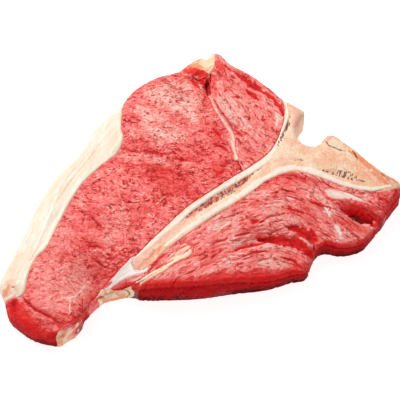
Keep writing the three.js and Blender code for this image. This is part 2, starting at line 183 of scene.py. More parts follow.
STRIP_LOIN_STROKES = [
    # paler and redder stretches
    ("pale", 1, 12, [(-35, 67), (-24, 66), (-14.5, 60), (-8, 47.5)]),
    ("pale", 0.7, 8, [(-40.5, 55.5), (-34, 47.5), (-25, 44.5)]),
    ("pale", 0.8, 9, [(-34, 38), (-24, 34.5), (-14, 32.5)]),
    ("pale", 0.35, 9, [(-56.5, -19), (-51, -31), (-56.5, -43.5)]),
    ("pale", 0.4, 10, [(-73, -57.5), (-77, -72.5), (-80.5, -82.5)]),
    ("pale", 0.3, 15, [(-82, -42), (-88, -62), (-86, -84)]),
    ("calm", 1.2, 24, [(-78, -42), (-88, -62), (-86, -92)]),
    ("calm", 0.6, 16, [(-62, -20), (-66, -50)]),
    ("rich", 0.9, 5, [(-98, -50), (-90, -52), (-82, -54), (-76, -58)]),
    ("rich", 0.9, 9, [(-32, 8.5), (-24.5, 2.5), (-16, -5), (-9, -11)]),
    ("rich", 0.6, 6, [(-47, 22), (-38.5, 20.5), (-30, 17.5)]),
    ("rich", 0.9, 3, [(-43.5, 10.5), (-36.5, 10), (-29, 8.5), (-21, 5.5), (-12.5, 1.5)]),
    ("rich", 0.7, 2, [(-39, 4.5), (-32, 3), (-25, 1)]),
    ("rich", 0.5, 8, [(-84.5, -43.5), (-76, -46), (-66.5, -48)]),
    ("rich", 0.8, 5, [(6.5, 39.5), (9, 31.5), (10.5, 24)]),
    ("rich", 0.8, 5, [(4.5, 5.5), (8.5, 8.5), (13, 13)]),
    ("rich", 0.5, 6, [(-44, -35), (-36, -25.5), (-26.5, -16.5), (-16, -8)]),
    ("rich", 0.9, 3, [(-16.5, 51.5), (-14, 48.5), (-11, 45)]),
    # the crease across the middle
    ("cream", 0.55, 1.1, [
        (-52.5, 18.5), (-46, 19.5), (-38.5, 19.5), (-32.5, 18.5), (-26, 14.5), (-20, 10.5),
    ], -0.2),
    ("pale", 0.5, 2.2, [(-52.5, 17.5), (-42, 18), (-32.5, 16.5), (-22, 11)]),
    ("cream", 0.5, 0.8, [(-49.5, 15.5), (-42, 17), (-34.5, 15.5)], -0.2),
    ("blood", 0.9, 0.8, [(-36.5, 22), (-32.5, 20.5), (-27.5, 20), (-23.5, 18.5)], 0.8),
    ("blood", 0.8, 0.7, [(-20, 16), (-15, 14.5), (-10, 14), (-6.5, 12.5)], 0.7),
    # beside the spine muscle and the bone
    ("furrow", 1, 0.9, [(5.5, 27), (9.5, 25.5), (14.5, 22)], 1),
    ("blood", 0.7, 1.4, [(6, 38), (9, 34.5), (10.5, 30)], 0.4),
    ("blood", 0.8, 1.4, [(5.5, 1), (8.5, 4.5), (12.5, 7.5)], 0.4),
    ("blood", 0.6, 1, [(-5.5, 27), (-1.5, 23), (1, 20)], 0.4),
    ("blood", 0.5, 0.9, [(-9, -3.5), (-4.5, -8), (-3, -12.5)], 0.3),
    # the cleft under the crown, with painted shade in it
    ("blood", 1, 2.4, [(-5.5, 84), (-3, 82.5), (-0.5, 81), (2.5, 79.5)], 1.4),
    ("dark", 1.1, 2.2, [(1.5, 82.5), (2.4, 76.5), (2.4, 69.5)], 2.4),
    ("dark", 0.45, 1.8, [(-5, 81.5), (-2, 81), (1, 79)], 0.6),
    ("rich", 0.9, 2.4, [(-6, 79.5), (-6.5, 76.5), (-5.5, 72)], 0.3),
    ("blood", 0.9, 1.8, [(-8, 79), (-5.5, 75.5), (-3.5, 72)], 0.3),
    ("rich", 0.7, 2, [(-5, 67), (-3.5, 63)]),
    # the tail: its crease, its raw outer side and a few threads of fat
    ("furrow", 1, 0.8, [
        (-103, -80), (-101, -82.5), (-98.5, -85), (-95, -88), (-90, -90.5), (-85.5, -93),
        (-82.5, -95.5),
    ], 1),
    ("rich", 1, 4, [(-109, -82), (-106.5, -85), (-103.5, -91), (-99.5, -97.5), (-94, -102.5)]),
    ("raw", 1, 4.5, [
        (-108, -82.5), (-105, -87.5), (-102.5, -92.5), (-98.5, -98), (-94.5, -102.5), (-89, -106),
    ]),
    ("blood", 0.9, 2.4, [(-109.5, -80), (-108, -82), (-108, -85), (-109, -89)]),
    ("blood", 0.9, 1.6, [(-70.5, -86.5), (-68, -87.5), (-66, -88.5)], 0.3),
    ("raw", 0.8, 2, [(-69, -90), (-66.5, -85.5), (-64, -82), (-61.5, -79)]),
    ("cream", 0.9, 0.8, [(-76.5, -81), (-76, -84.5), (-76, -88), (-76, -91.5)], -0.2),
    ("cream", 0.8, 0.8, [(-79.5, -81), (-76.5, -81), (-73, -79), (-71, -76), (-68.5, -71)], -0.2),
    ("cream", 0.4, 0.7, [(-85.5, -76), (-81, -80.5), (-77, -84.5)], -0.1),
    # painted shade in a crack
    ("dark", 0.7, 0.6, [(-71.5, -78.5), (-71, -77)], 0.3),
    ("furrow", 0.6, 0.6, [(-77, -70), (-73.5, -70.5), (-70.5, -71.5)], 0.4),
    ("furrow", 0.6, 0.6, [(-72, -83), (-69.5, -85), (-67, -85)], 0.4),
    # short cracks between the bundles
    ("blood", 0.9, 0.8, [(-68.5, -47.5), (-65.5, -48), (-62, -47.5), (-59, -49)], 0.8),
    ("furrow", 0.9, 0.7, [(-62.5, -56.5), (-60, -58), (-57, -59.5)], 0.9),
    ("furrow", 1, 0.8, [(-66.5, -28), (-64, -31), (-61.5, -34), (-59.5, -36)], 0.8),
    ("furrow", 0.6, 0.6, [(-69, -78), (-69.5, -82.5), (-69, -86)], 0.5),
    ("furrow", 0.6, 0.6, [(-98, -36), (-94, -43), (-90, -47.5)], 0.5),
    ("cream", 0.6, 0.8, [(-52, -11), (-50, -14.5), (-48, -19)], -0.1),
    ("cream", 0.6, 0.8, [(-35, -24), (-31, -27.5), (-27.5, -30.5)], -0.1),
    ("cream", 0.7, 0.9, [(-24, -12.5), (-26.5, -16), (-29.5, -19)], -0.1),
    ("cream", 0.7, 0.8, [(-67.5, -51), (-62, -50), (-56, -52)], -0.1),
]
SPINE_STROKES = [
    ("pale", 0.7, 7, [(11, 62), (17, 52.5), (24.5, 42.5)]),
    ("rich", 0.9, 3, [(4.5, 98.5), (5.5, 92.5), (8, 87.5), (11.5, 82), (14.5, 79)]),
    ("raw", 1.2, 2.4, [(4.5, 99.5), (7.5, 96), (10.5, 91), (12.5, 85.5)]),
    ("rich", 0.7, 3, [(16.5, 89), (21.5, 85.5), (29, 79), (36, 71)]),
    ("rich", 0.4, 5, [(21.5, 25.5), (26, 20.5), (25, 14.5)]),
    ("blood", 1, 2.4, [(20.5, 84), (26.5, 79), (33, 72), (38, 67)], 0.4),
    ("rich", 0.9, 2.2, [(22, 71.5), (26, 69.5), (29.5, 67)]),
    ("blood", 1, 2, [(27, 69.5), (30, 66.5), (34, 62)], 0.3),
    ("blood", 0.6, 1, [(32, 58), (35.5, 55.5), (38.5, 54)], 0.3),
    ("rich", 0.9, 2, [(13, 72), (15.5, 70.5), (17.5, 69.5)]),
    ("blood", 1, 2, [(36.5, 69), (43, 64), (47.5, 57), (49.5, 50.5)], 0.3),
    ("blood", 0.8, 1.5, [(19, 38), (21.5, 34.5), (23.5, 32.5)], 0.3),
    ("blood", 0.7, 0.9, [(41.5, 37.5), (43, 36.5)], 0.3),
    ("cream", 0.9, 2.2, [(45, 52.5), (46, 46.5), (45, 41)], -0.2),
    ("cream", 0.5, 1, [(36, 46), (34.5, 38), (31.5, 30)]),
    ("furrow", 0.7, 0.6, [(11, 69), (15.5, 59), (21, 48.5), (26, 40.5)], 0.4),
    ("furrow", 0.9, 0.8, [(5.5, 64), (9, 55.5), (13.5, 47.5), (17, 40.5), (19, 34.5)], 0.5),
    ("furrow", 0.6, 0.6, [(21, 62), (25.5, 54), (29.5, 46)], 0.4),
    # painted shade in the cleft beside the crown
    ("dark", 1, 1, [(3, 82.5), (3, 75.5), (3, 68)], 2),
]
SIDE_STROKES = [
    ("pale", 0.6, 3, [(87.5, -7.5), (94.5, -9), (100, -11.5)]),
    ("furrow", 0.8, 1.2, [(113.5, -3), (115, -6.5), (114.5, -10.5), (112, -14.5)]),
    ("blood", 0.7, 1.4, [(104, -11.5), (109, -13.5), (112, -18)]),
    # painted shade in a crack
    ("dark", 0.5, 0.5, [(97, -7.5), (99, -8.5), (101.5, -9.5)], 0.3),
]
CHAIN_STROKES = [
    ("cream", 0.8, 0.6, [(-23, -58.5), (-20.5, -56), (-18.5, -53), (-17, -50.5)], -0.1),
    ("blood", 0.7, 1.2, [(-30.5, -61), (-27, -57), (-22.5, -52.5)]),
    ("pale", 0.9, 1.5, [(-51, -69), (-45.5, -68), (-39.5, -67), (-34, -66)]),
]
BONE_STROKES = [
    # the marrow in the stem, and the rows of pores beside it
    ("marrow", 1, 2.5, [(-11, -28), (-4, -21.5), (3, -16), (11.5, -9.5), (21, -2.5), (29, 4)], 0.4),
    ("pore", 0.8, 2, [(-4, -23), (3, -17), (11.5, -10.5), (21, -3.5), (28, 2)], 0.4),
    ("pore", 0.9, 0.8, [
        (-14.5, -31.5), (-9, -25), (-1, -18), (6.5, -11.5), (15, -5.5), (23, -0.5), (28.5, 4), (36, 10),
    ], 0.7),
    ("pore", 0.7, 0.8, [(-7, -27.5), (0, -21), (8, -15), (16.5, -9.5), (22, -5)], 0.6),
    ("pink", 0.6, 3, [(-33, -51), (-23, -41), (-13, -31), (0, -20)]),
    ("pink", 0.55, 7, [(-41, -61), (-36, -56), (-31, -52)]),
    ("marrow", 0.45, 2, [(-38, -60), (-35, -57), (-32, -55.5)]),
    ("orange", 0.7, 2.6, [(-38, -61), (-33, -57), (-30, -53.5), (-25.5, -48)]),
    ("brown", 0.6, 0.7, [(-33, -56.5), (-30.5, -53.5), (-28, -49.5)], 0.3),
    ("brown", 0.4, 0.4, [(-26, -54.5), (-30, -59.5), (-32.5, -63)], 0.2),
    ("rim", 0.9, 0.5, [(-27, -55), (-30.5, -59.5), (-33.5, -63)], -0.1),
    # the spongy arm, the body and its tip
    ("pore", 1, 1.5, [(53.5, 48.5), (52, 42), (50.5, 37.5), (47.5, 32.5), (45.5, 26)], 0.8),
    ("brown", 0.7, 1, [(52.5, 45), (51.5, 40.5), (50, 37)], 0.3),
    ("pore", 1, 1.2, [(70, 7.5), (75.5, 5.8), (80.5, 4.2), (86, 2.2), (91, 0.6), (97, -1)], 0.6),
    ("pore", 1.1, 2.3, [(77, 7), (82, 5.5), (87, 4), (92, 2)], 0.4),
    ("pore", 1, 1, [(55.5, 14.5), (60, 14.5)], 0.5),
    ("pink", 0.8, 3, [(54, 58), (59, 53), (57.5, 46), (55, 40)]),
    ("pink", 0.5, 4, [(42, 13), (50, 16), (58, 15)]),
    ("orange", 0.35, 6, [(72, 20), (82, 17), (92, 8)]),
    ("orange", 0.45, 7, [(90, 12), (98, 6), (106, 1)]),
    ("orange", 0.9, 1.8, [(88, 22), (95, 17), (100, 11), (106, 5), (112, 1.5), (116, -1.5)], 0.2),
    ("orange", 0.4, 5, [(88.5, 14.5), (99, 4), (110.5, -2)]),
    ("orange", 0.7, 0.6, [(93, 17), (92.5, 12), (93.5, 7.5)], 0.2),
    ("orange", 0.7, 0.5, [(95.5, 7.5), (99, 3), (101.5, -2)], 0.2),
    ("orange", 0.7, 0.5, [(103.5, 3), (105, 0), (106.5, -4)], 0.2),
    ("orange", 0.8, 3, [(101.5, 6), (106, 1.5), (110.5, -3)]),
    ("orange", 1.2, 0.9, [(91, 21.5), (93.5, 18.5), (95.5, 14.5), (98, 11), (100.5, 8)], 0.2),
    ("brown", 1.1, 0.6, [(74, 31), (76.5, 26), (79.5, 24.5), (83, 22.5), (87, 21.5)], 0.3),
    ("brown", 1.2, 0.7, [(91, 22), (92.5, 19.5), (93.5, 16)], 0.3),
    ("brown", 0.9, 0.5, [(106.5, 6), (109.5, 2), (112.5, -2)], 0.2),
    ("pink", 1, 1.4, [(75.5, 28.5), (76.5, 31.5), (78.5, 33), (80.5, 32.5)]),
    ("pink", 0.6, 1.6, [(73.5, 33), (78, 34.5), (83, 30)]),
    # the hard white rims
    ("rim", 1, 1.8, [
        (-42.5, -57), (-32, -47), (-20.5, -34.5), (-9, -22.5), (3, -12), (15, -3), (27.5, 6.5),
        (38.5, 15.5), (44, 25.5), (47.5, 35), (51, 44.5), (52.2, 54), (51, 63),
    ], -0.1),
    ("rim", 1, 2.1, [
        (-23, -47.5), (-11.5, -36.5), (0, -27), (12, -18), (23, -10), (33.5, -1.5), (44.5, 6.5),
        (53, 9), (61.5, 8), (71, 4), (81.5, -1.5), (91, -4.5), (100.5, -6), (111.5, -4),
    ], -0.1),
    ("brown", 0.8, 0.5, [
        (-18.5, -48), (-8.5, -39), (1, -30), (11.5, -22), (21, -16), (29.5, -8.5), (38, -1.5),
        (45.5, 3),
    ], 0.4),
    ("meaty", 1.3, 1.4, [
        (70, 1), (76, -2.5), (82, -5.5), (88.5, -8.2), (96.5, -9.8), (104, -9.8), (112.5, -7.5),
    ]),
    ("brown", 0.8, 0.6, [(74, 0), (84.5, -4.6), (92, -6.8), (101.5, -7.8), (112, -5.2)], 0.3),
]
FAT_CAP_STROKES = [
    ("orange", 1, 3, [(-114, -79.5), (-113, -76.5), (-111.5, -73)]),
    ("orange", 0.6, 4, [(-113.5, -72), (-110, -71), (-107, -76)]),
    ("brown", 0.8, 0.8, [(-110, -74), (-108, -74)]),
    ("brown", 0.5, 0.6, [(-108, -66), (-106, -63)]),
    ("speckle", 1, 8, [(-110, -70), (-106, -60), (-101, -50)]),
    ("meaty", 0.5, 1.4, [(-112, -82), (-109, -80), (-106, -78)]),
    ("speckle", 0.5, 9, [(-97, -42), (-92, -30), (-86, -16)]),
    ("orange", 0.25, 1.8, [(-95.5, -11.5), (-98.5, -24), (-101.5, -38), (-104.5, -52)], 0.3),
    ("rim", 0.7, 1.4, [(-87, -8), (-91.5, -24), (-96, -41), (-101, -56)], -0.3),
    ("orange", 0.2, 1.8, [(-59, 42), (-71.5, 18.5), (-83.5, -0.5)], 0.3),
    ("line", 0.5, 0.5, [(-61, 34), (-70, 17), (-80, 0), (-88, -17)], 0.3),
]
SIDE_FAT_STROKES = [
    ("raw", 1.8, 2.2, [(101, -25.5), (105, -24.5), (108.5, -22.5), (111, -20)]),
    ("meaty", 0.9, 1.6, [(84, -12.5), (92, -16.5), (101, -20.5), (110, -24)], 0.3),
    ("meaty", 1, 1.6, [(71, -8), (73, -12), (77, -14), (82, -13.5)], 0.2),
    ("meaty", 1.3, 3.4, [(88, -13), (94, -16.5), (99.5, -19.5), (105.5, -23.5), (112, -28)], 0.2),
    ("meaty", 1.3, 3, [(93, -10.5), (99, -14), (104.5, -18), (109, -22), (116, -26)]),
    ("rim", 0.8, 1.2, [(77, -9), (84, -10.5)]),
    ("rim", 1.5, 1.8, [(84, -9.5), (89, -11), (93, -12), (97, -13.5), (101, -15.5), (106, -18)], -0.2),
]
SEAM_FAT_STROKES = [
    ("meaty", 0.9, 0.9, [(1, 70), (4.5, 56), (10.5, 43.5), (14, 36)]),
    ("meaty", 0.8, 0.8, [(8, 60), (12, 48), (18, 38)]),
    ("meaty", 1, 1, [(15, 33), (15, 26), (17, 20), (18, 14)]),
    ("meaty", 1, 0.8, [(19.5, 30), (19.5, 24), (21.5, 18)]),
]
CROWN_STROKES = [
    ("raw", 0.9, 3.4, [(-20, 83), (-14, 84.5), (-9.5, 86.5), (-5, 87), (-0.5, 85.5), (3, 84)], 0.2),
    ("raw", 1, 2.6, [(-9.5, 82), (-5, 82), (-0.5, 82), (3, 82)], 0.3),
    ("meaty", 0.8, 2, [(-22, 86), (-17, 88.5), (-13, 90)]),
    ("raw", 0.5, 1.8, [(-16, 87), (-12.5, 90), (-8, 92.5)]),
    ("orange", 2.4, 2, [(-14, 91), (-10, 92.5), (-6.5, 92.5), (-4, 91), (-1, 89.5)]),
    ("orange", 1.4, 1.8, [(-15, 91), (-10.5, 95), (-6, 97), (-2, 98.5)]),
    ("speckle", 0.8, 6, [(-8, 90), (-2, 95)]),
    ("line", 0.8, 0.6, [(-7, 92), (-4, 94), (-1, 98)]),
    ("orange", 1.6, 2.6, [(-17, 87), (-12, 89), (-8.5, 91), (-5.5, 91), (-3, 90.5)]),
    ("orange", 0.7, 1.2, [(-0.5, 89), (3, 88), (5, 91)]),
    ("brown", 0.4, 0.8, [(-3.5, 96), (-1.5, 97.5), (0.5, 96.5)]),
]
TAIL_FAT_STROKES = [
    ("meaty", 1.1, 3.4, [(-85, -99), (-80, -98), (-75, -95.5), (-71, -91), (-67, -86)]),
    ("raw", 1.1, 2.8, [(-74, -95.5), (-70.5, -91.5), (-67, -86)]),
    ("orange", 2.2, 2.2, [(-87, -99), (-85.5, -102), (-83.5, -104.5), (-80, -103)]),
    ("brown", 0.5, 0.8, [(-84, -103.5), (-81, -103)]),
]
BRIDGE_STROKES = [
    ("meaty", 1.4, 3, [(-68, -87), (-65.5, -82.5), (-63, -79), (-60.5, -76.5)]),
    ("orange", 2, 2.2, [(-60, -76), (-56, -74.5), (-52, -73.5), (-47.5, -72.5)]),
    ("raw", 1.4, 3, [(-41.5, -69.5), (-39.5, -73), (-39, -78)]),
    ("brown", 0.9, 0.8, [(-46, -70.5), (-45.5, -72.5)], 0.3),
    ("brown", 0.7, 0.9, [(-60.5, -76), (-58.5, -74.5)]),
    ("brown", 0.8, 0.4, [(-41, -70.5), (-38, -69.5), (-33.5, -68.5)], 0.3),
    ("line", 0.7, 0.5, [(-33.5, -68.5), (-28.5, -66), (-24, -63)], 0.2),
    ("brown", 0.6, 0.4, [(-22.5, -62.5), (-19, -60.5), (-16.5, -58.5)], 0.3),
    ("orange", 0.5, 0.8, [(-37, -70), (-28, -65.5), (-19, -59.5)]),
    ("line", 0.5, 0.4, [(-21, -58), (-16, -54), (-11.5, -51)], 0.2),
    ("meaty", 0.9, 1.2, [(-28, -61), (-22, -56), (-16, -50.5), (-10, -47)], 0.2),
    ("meaty", 1.3, 2.2, [(-7, -56), (-5.5, -51), (-7, -46.5), (-12, -45.5)], 0.2),
    ("meaty", 0.9, 1, [(-21, -62.5), (-15, -58.5), (-9, -55.5)], 0.2),
    ("meaty", 0.9, 1.2, [(-27, -56), (-22.5, -52), (-18, -48.5), (-13.5, -45.5)], 0.2),
    ("orange", 0.8, 1, [(-31.5, -61.5), (-26, -58.5), (-20, -55.5), (-15.5, -52)], 0.2),
    ("rim", 0.8, 0.9, [(-42, -70), (-36, -68), (-30, -64.5), (-24, -60)]),
    ("rim", 0.5, 1.2, [(-22, -59), (-16.5, -55), (-11, -51)]),
    ("meaty", 1, 0.8, [(-32, -65.5), (-25, -61.5), (-18, -57)], 0.2),
    ("meaty", 1, 0.9, [(-15, -54), (-10.5, -51), (-7, -48)], 0.2),
]
CARTILAGE_STROKES = [
    ("meaty", 0.8, 1.4, [(-59.5, -72), (-57, -69), (-54, -67)]),
    ("line", 0.7, 0.4, [(-42, -60), (-40, -63), (-35, -63.5)], 0.3),
    ("line", 0.4, 0.4, [(-55, -69), (-49, -65), (-43, -62)], 0.2),
]

# ---- Repeatable noise ----------------------------------------------------------------------------


def scatter(i, j, k, seed):
    """A random number from -1 to 1 for each whole-numbered point, the same on every run.

    The large primes mix the bits of the three numbers and the seed.
    """
    n = (i * 73856093) ^ (j * 19349663) ^ (k * 83492791) ^ (seed * 2654435761)
    n = (n ^ (n >> 13)) * 1274126177
    n = (n ^ (n >> 16)) & 0xFFFFFF
    return n / 0x7FFFFF - 1


def noise(points, size, seed):
    """Smooth random heights from -1 to 1, with bumps about as wide as size."""
    scaled = points / size
    base = np.floor(scaled).astype(np.int64)
    part = scaled - base
    part = part * part * (3 - 2 * part)
    total = np.zeros(len(points))
    for corner in np.ndindex(2, 2, 2):
        weight = np.prod(np.where(corner, part, 1 - part), axis=1)
        i, j, k = (base + corner).T
        total += weight * scatter(i, j, k, seed)
    return total


def rough_noise(points, size, octaves, seed):
    """Noise with finer and weaker noise on top."""
    total = np.zeros(len(points))
    for octave in range(octaves):
        total += noise(points, size / 2**octave, seed + octave) / 2**octave
    return total


def sway(points, size, seed, other_seed):
    """Two rough noises side by side, as moves within the cut face."""
    return np.stack([rough_noise(points, size, 2, one) for one in (seed, other_seed)], axis=1)


def bundles(across, size, seed):
    """How far each 2-D point is inside its own cell of a crooked pavement: 0 at its border."""
    scaled = across / size
    base = np.floor(scaled).astype(np.int64)
    nearest = np.full(len(across), 9.0)
    second = np.full(len(across), 9.0)
    for step in np.ndindex(3, 3):
        cell = base + np.array(step) - 1
        jitter_x = 0.4 * scatter(cell[:, 0], cell[:, 1], 0 * cell[:, 0], seed)
        jitter_y = 0.4 * scatter(cell[:, 0], cell[:, 1], 0 * cell[:, 0] + 1, seed)
        middle = cell + 0.5 + np.stack([jitter_x, jitter_y], axis=1)
        distance = np.linalg.norm(scaled - middle, axis=1)
        second = np.minimum(second, np.maximum(nearest, distance))
        nearest = np.minimum(nearest, distance)
    return second - nearest


def ease(value, low, high):
    """0 below low, 1 above high and smooth between."""
    share = np.clip((value - low) / (high - low), 0, 1)
    return share * share * (3 - 2 * share)


def along_path(points, path):
    """Each point's distance to a path, and how far along the path it is, from 0 to 1."""
    path = np.array(path, float)
    lengths = np.linalg.norm(np.diff(path, axis=0), axis=1)
    starts = np.concatenate([[0], np.cumsum(lengths)])
    distance = np.full(len(points), np.inf)
    share = np.zeros(len(points))
    for start, end, begun, length in zip(path[:-1], path[1:], starts, lengths):
        t = np.clip((points - start) @ (end - start) / length**2, 0, 1)
        apart = np.linalg.norm(points - start - t[:, None] * (end - start), axis=1)
        closer = apart < distance
        distance[closer] = apart[closer]
        share[closer] = ((begun + t * length) / starts[-1])[closer]
    return distance, share


# ---- Skins ---------------------------------------------------------------------------------------

# All lengths are in millimetres.
SAME_PLACE = 0.01  # corners of a solid that are closer than this are one
WANDER = 2.2  # how far a stroke wanders from its path on the walls
ROUNDING = 2.8  # height of the rounded lower edges that are let down beside a neighbour
FLAT_PART = 1.1  # height up to which they are let down the whole way
SETTLE_REACH = 2.2  # how near a neighbour has to be for that
SEAM_LIFT = 0.3  # how far the rounded edges of two neighbours rise to fill the groove between them
STROKE_REACH = 4  # how far a stroke reaches from its path, in half widths
UNEVEN_WIDTH = 0.45, 0.25  # how much finer and coarser noise changes a stroke's width


def pick(piece):
    """Only this piece is selected and active."""
    bpy.ops.object.select_all(action="DESELECT")
    piece.select_set(True)
    bpy.context.view_layer.objects.active = piece


def apply_modifier(piece, kind, **settings):
    """Changes the piece's mesh for good with a modifier."""
    modifier = piece.modifiers.new(kind.title(), kind)
    for name, value in settings.items():
        setattr(modifier, name, value)
    pick(piece)
    bpy.ops.object.modifier_apply(modifier=modifier.name)


def make_skin(node, voxel, softening):
    """A copy of a solid, as one closed skin of small even faces."""
    piece = bpy.data.objects.new(node + "_skin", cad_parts[node].data.copy())
    bpy.context.scene.collection.objects.link(piece)
    pick(piece)
    bpy.ops.object.mode_set(mode="EDIT")
    bpy.ops.mesh.select_all(action="SELECT")
    bpy.ops.mesh.remove_doubles(threshold=SAME_PLACE * MM)
    bpy.ops.object.mode_set(mode="OBJECT")
    apply_modifier(piece, "REMESH", mode="VOXEL", voxel_size=voxel * MM)
    apply_modifier(piece, "SMOOTH", factor=0.5, iterations=softening)
    return piece


def read(mesh, what):
    """The places or the normals of all vertices."""
    values = np.empty(len(mesh.vertices) * 3)
    mesh.vertices.foreach_get(what, values)
    return values.reshape(-1, 3)


def surfaces_of(nodes):
    """A search tree over the surfaces of some solids, in millimetres."""
    points = []
    faces = []
    for node in nodes:
        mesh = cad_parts[node].data
        faces += [[i + len(points) for i in face.vertices] for face in mesh.polygons]
        points += [vertex.co / MM for vertex in mesh.vertices]
    return BVHTree.FromPolygons(points, faces)


def nearness(points, surfaces, reach):
    """1 at the surfaces, fading to 0 at twice the reach from them."""
    values = np.zeros(len(points))
    for i, point in enumerate(points):
        distance = surfaces.find_nearest(Vector(point), 2 * reach)[3]
        if distance is not None:
            values[i] = math.exp(-((distance / reach) ** 2))
    return values


class Carving:
    """A skin while it is carved: its points in millimetres and its masks."""

    def __init__(self, piece, masks, paint_walls=False):
        self.piece = piece
        self.points = read(piece.data, "co") / MM
        self.normals = read(piece.data, "normal")
        up = self.normals[:, 2]
        # from 0 to 1: on the upper cut face, on either cut face, on the walls, and where to paint
        self.top = ease(up, 0.35, 0.8) * ease(self.points[:, 2], 6, 9)
        self.cut = np.maximum(self.top, ease(-up, 0.5, 0.9))
        self.wall = 1 - ease(np.abs(up), 0.25, 0.7)
        self.painted = np.ones(len(up)) if paint_walls else self.cut
        self.masks = {name: np.zeros(len(self.points)) for name in masks}
        self.masks["wall"] = self.wall
        # edge, front and low place painted shade: on the rounded edges, on sides turned away from the lamp,
        # and darker towards the bottom
        self.masks["edge"] = 1 - ease(np.abs(up), 0.72, 0.96)
        self.masks["front"] = ease(-self.normals[:, 1], 0.2, 0.9)
        self.masks["low"] = 1 - ease(self.points[:, 2], 2, 13)
        self.drawn = self.points + TO_STROKES
        self.wander = WANDER * sway(self.points, 6, 13, 17) * self.wall[:, None]

    def push(self, heights):
        """Moves the points along their normals, but keeps the underside flat."""
        free = ease(self.points[:, 2], 0.2, 2.5) * ease(self.normals[:, 2], -0.8, -0.2)
        self.points += self.normals * (heights * free)[:, None]

    def close_seams(self, amount):
        """Widens the piece sideways, so that no air shows between it and its neighbours."""
        sideways = self.normals * [1, 1, 0]
        self.points += sideways * (self.wall * amount)[:, None]

    def meet(self, surfaces, reach):
        """Leaves a mask where the piece has grown onto its neighbours."""
        self.masks["seam"] = nearness(self.points, surfaces, reach)

    def shape(self, heights, others, strokes, sideways):
        """Raises the cut face, closes the gaps to the other pieces and draws the strokes."""
        self.push(heights)
        self.close_seams(sideways)
        self.settle(others)
        for stroke in strokes:
            self.stroke(*stroke)

    def settle(self, others):
        """Lowers the rounded lower edges beside the neighbours, so that the underside is closed."""
        bottom = self.points[:, 2].min()
        low = np.flatnonzero(self.points[:, 2] < bottom + ROUNDING)
        beside = ease(nearness(self.points[low], others, SETTLE_REACH), 0.10, 0.45)
        heights = self.points[low, 2] - bottom
        self.points[low, 2] -= heights * beside * (1 - ease(heights, FLAT_PART, ROUNDING))

    def stroke(self, mask, strength, half_width, path, depth=0):
        """Paints a mask along a path, and presses it this deep into the upper face."""
        distance, share = along_path(self.drawn[:, :2] + self.wander, path)
        near = distance < half_width * STROKE_REACH
        if not near.any():
            return
        places = self.points[near]
        fine, coarse = UNEVEN_WIDTH
        ragged = 1 + fine * noise(places, 1.6, 11) + coarse * noise(places, 4, 12)
        taper = np.sin(np.pi * np.clip(share[near], 0.04, 0.96)) ** 0.45
        profile = np.exp(-((distance[near] / (half_width * ragged * taper)) ** 2))
        painted = strength * profile * self.painted[near]
        self.masks[mask][near] = np.maximum(self.masks[mask][near], painted)
        self.points[near, 2] -= depth * profile * self.top[near]

    def finish(self):
        """Writes the points and the masks into the piece's mesh."""
        mesh = self.piece.data
        mesh.vertices.foreach_set("co", (self.points * MM).ravel())
        mesh.update()
        # slopes of the upper face that turn towards the camera and away from the lamp, for painted shade
        self.masks["slope"] = ease(-read(mesh, "normal")[:, 1], 0.15, 0.60) * (1 - self.wall)
        for name, values in self.masks.items():
            attribute = mesh.attributes.new(name, "FLOAT", "POINT")
            attribute.data.foreach_set("value", np.clip(values, 0, 1))
        mesh.shade_smooth()
        mesh.update()

    def keep_grain(self, grain):
        """Keeps each point's place along and across the fibres, for the finish."""
        places = np.column_stack([grain, self.points[:, 2]])
        attribute = self.piece.data.attributes.new("grain", "FLOAT_VECTOR", "POINT")
        attribute.data.foreach_set("vector", places.ravel())


# ---- Directions of the grain ---------------------------------------------------------------------


def straight(angle):
    """Grain that runs one way, at this angle from +X."""
    turn = math.radians(angle)

    def coordinates(flat):
        x, y = flat.T
        along = x * math.cos(turn) + y * math.sin(turn)
        return np.stack([along, y * math.cos(turn) - x * math.sin(turn)], axis=1)

    return coordinates


def crested(crest, left, right, bend):
    """Grain that climbs to a crest and falls beyond it, at an even slope once past the bend."""

    def coordinates(flat):
        x, y = flat.T
        past = x - crest
        turned = np.minimum(past, bend)
        fall = right * turned * (2 * past - turned)
        return np.stack([x, y + np.where(past < 0, left * past**2, fall)], axis=1)

    return coordinates


# ---- Carving the tissues -------------------------------------------------------------------------

# All lengths are in millimetres. The last number of each call for noise is its seed.
BUNDLE_WIDTH = 2.6
BUNDLE_WARP = 1.1
FURROW_DEPTH = 0.30
FOLD_SPACING = 6.5
LOBE_HEIGHT = 0.25
MEAT_MASKS = (
    "bundle", "fold", "blood", "furrow", "dark", "cream", "white", "pale", "rich", "raw", "calm",
)
BONE_MASKS = ("rim", "pore", "marrow", "brown", "orange", "pink", "meaty")
FAT_MASKS = ("rim", "brown", "orange", "meaty", "raw", "speckle", "line")


